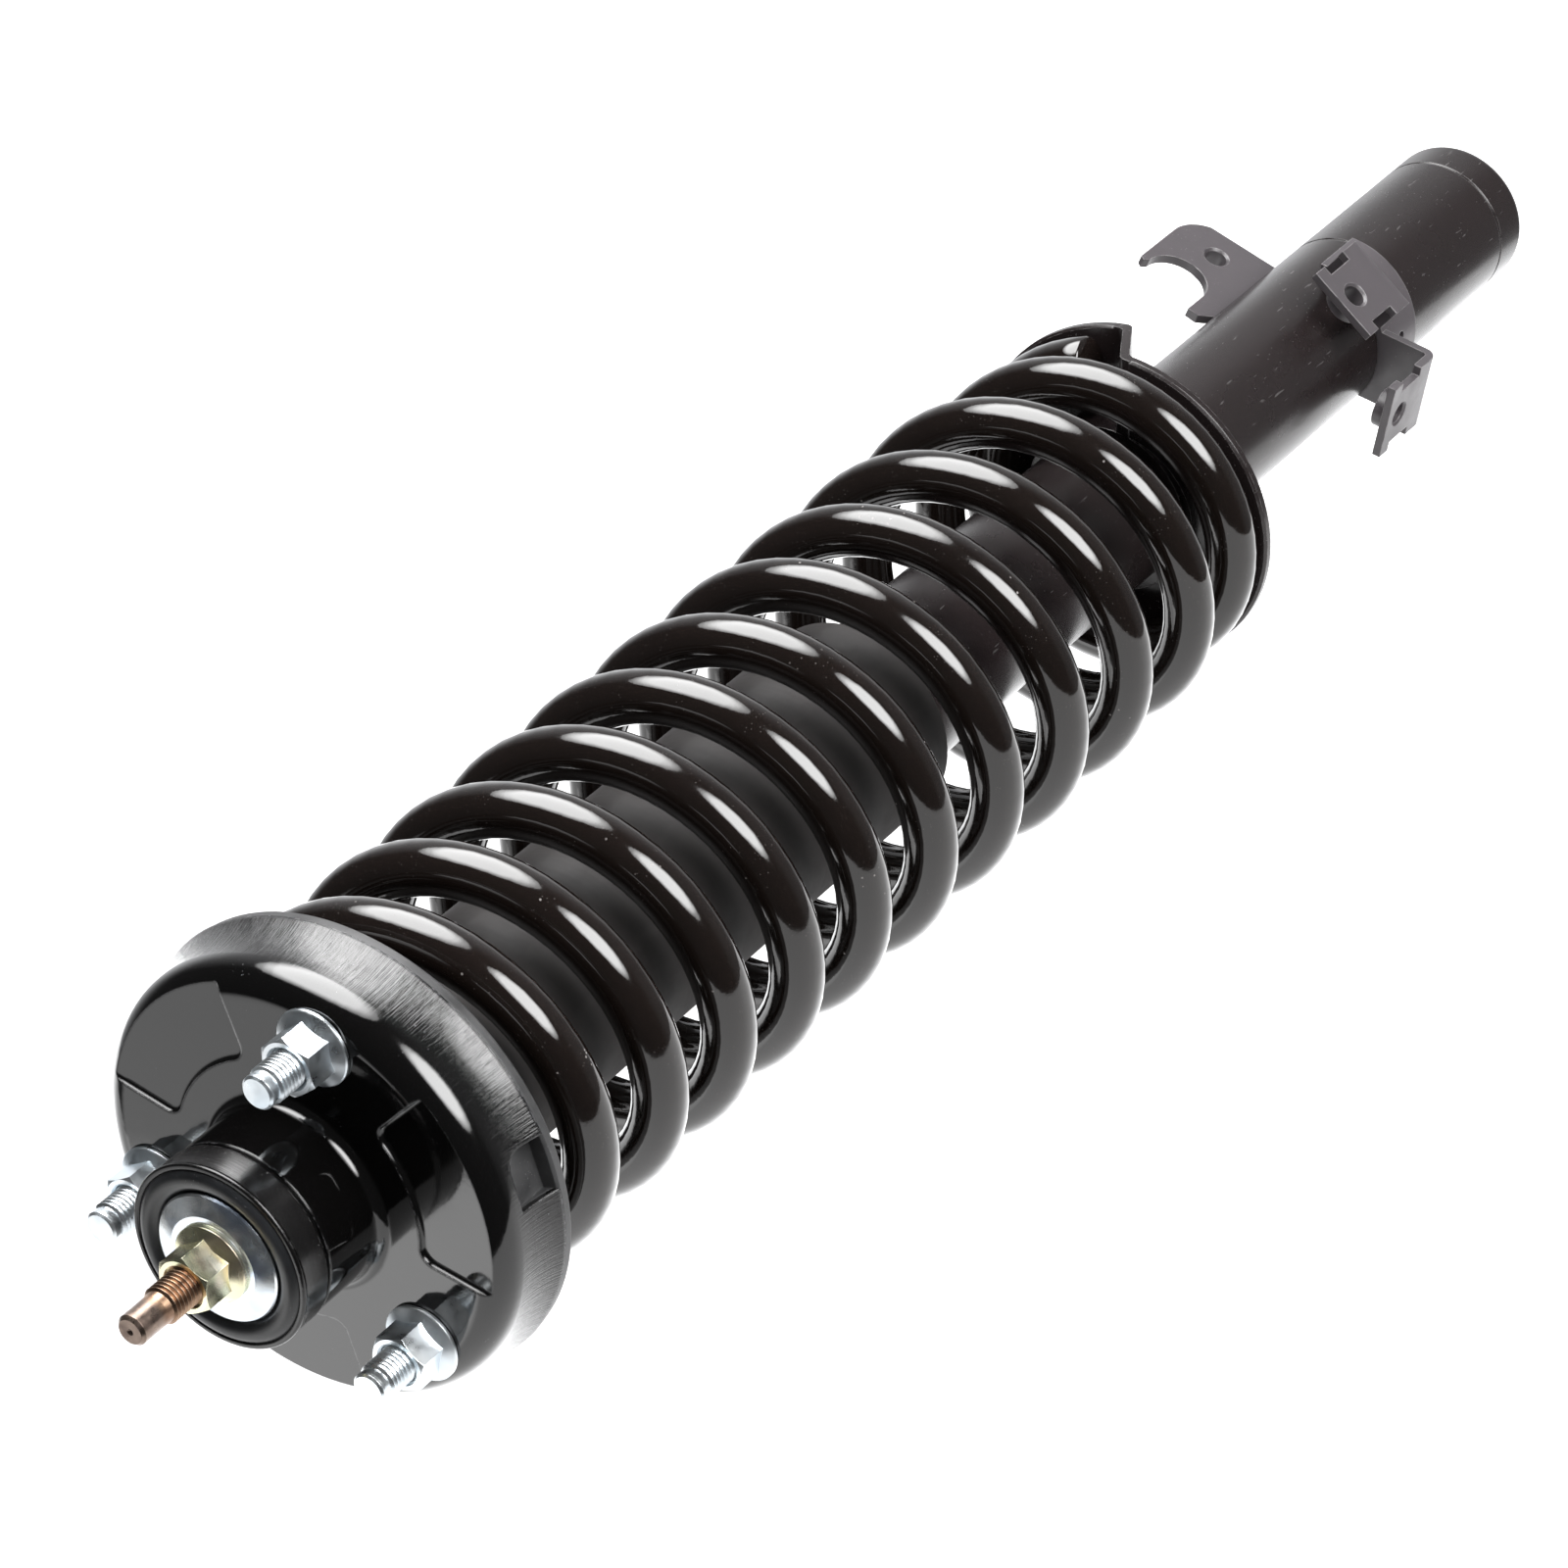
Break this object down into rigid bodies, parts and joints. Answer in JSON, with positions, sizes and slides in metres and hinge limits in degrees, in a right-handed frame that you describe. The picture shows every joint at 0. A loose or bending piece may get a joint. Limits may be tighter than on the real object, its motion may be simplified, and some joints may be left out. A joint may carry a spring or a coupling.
{
  "type": "coil-over suspension strut",
  "caption": "Coil-over strut: twin-tube damper in a painted coil spring, studded top mount with rubber bush, lower spring seat, and hose and cable brackets.",
  "frame": {"origin": "on the strut axis, in the face of the top mount that bolts against the vehicle", "axes": "+Z along the strut axis, up to the threaded end of the piston rod; +X towards one of the three mounting studs; right-handed"},
  "size_m": [0.1243, 0.1246, 0.6483],
  "materials": {
    "mount_paint": "gloss black paint",
    "spring_paint": "gloss brown-black powder coat",
    "tube_paint": "satin black paint",
    "bracket_paint": "satin dark grey paint",
    "housing_black": "satin black",
    "zinc": "bright zinc plate",
    "yellow_zinc": "yellow zinc plate",
    "rod_steel": "ground steel, thread tinted bronze",
    "plain_steel": "plain steel",
    "sintered": "sintered iron",
    "rubber": "matte black rubber",
    "rubber_grey": "mid-grey rubber",
    "bump_foam": "closed-cell foam",
    "band_plastic": "bearing plastic",
    "cover_plastic": "matte black plastic"
  },
  "bodies": {
    "mount": {"mount_base": "mount_paint", "mount_studs": "zinc", "mount_nuts": "zinc", "bush_housing": "housing_black", "bush_upper_rubber": "rubber", "bush_lower_rubber": "rubber", "bush_collar": "plain_steel", "top_washer": "zinc", "rod_nut": "yellow_zinc", "plate_washer": "zinc", "piston_rod": "rod_steel", "spring_insulator": "rubber_grey", "dust_cover": "cover_plastic", "bump_stop": "bump_foam", "coil_spring": "spring_paint", "rebound_stop": "plain_steel", "piston": "sintered", "piston_band": "band_plastic", "piston_valve_discs": "plain_steel", "piston_nut": "plain_steel"},
    "tube": {"rod_guide": "sintered", "oil_seal": "rubber", "inner_cylinder": "plain_steel", "base_valve": "sintered", "damper_tube": "tube_paint", "bottom_cap": "tube_paint", "lower_spring_seat": "tube_paint", "hose_hook": "bracket_paint", "cable_bracket": "bracket_paint"}
  },
  "joints": [
    {"name": "strut_travel", "type": "slide", "parent": "mount", "child": "tube", "axis": [0, 0, 1], "range_m": [0, 0.11], "stiffness_N_per_m": 50000, "deforming": ["coil_spring"]}
  ]
}
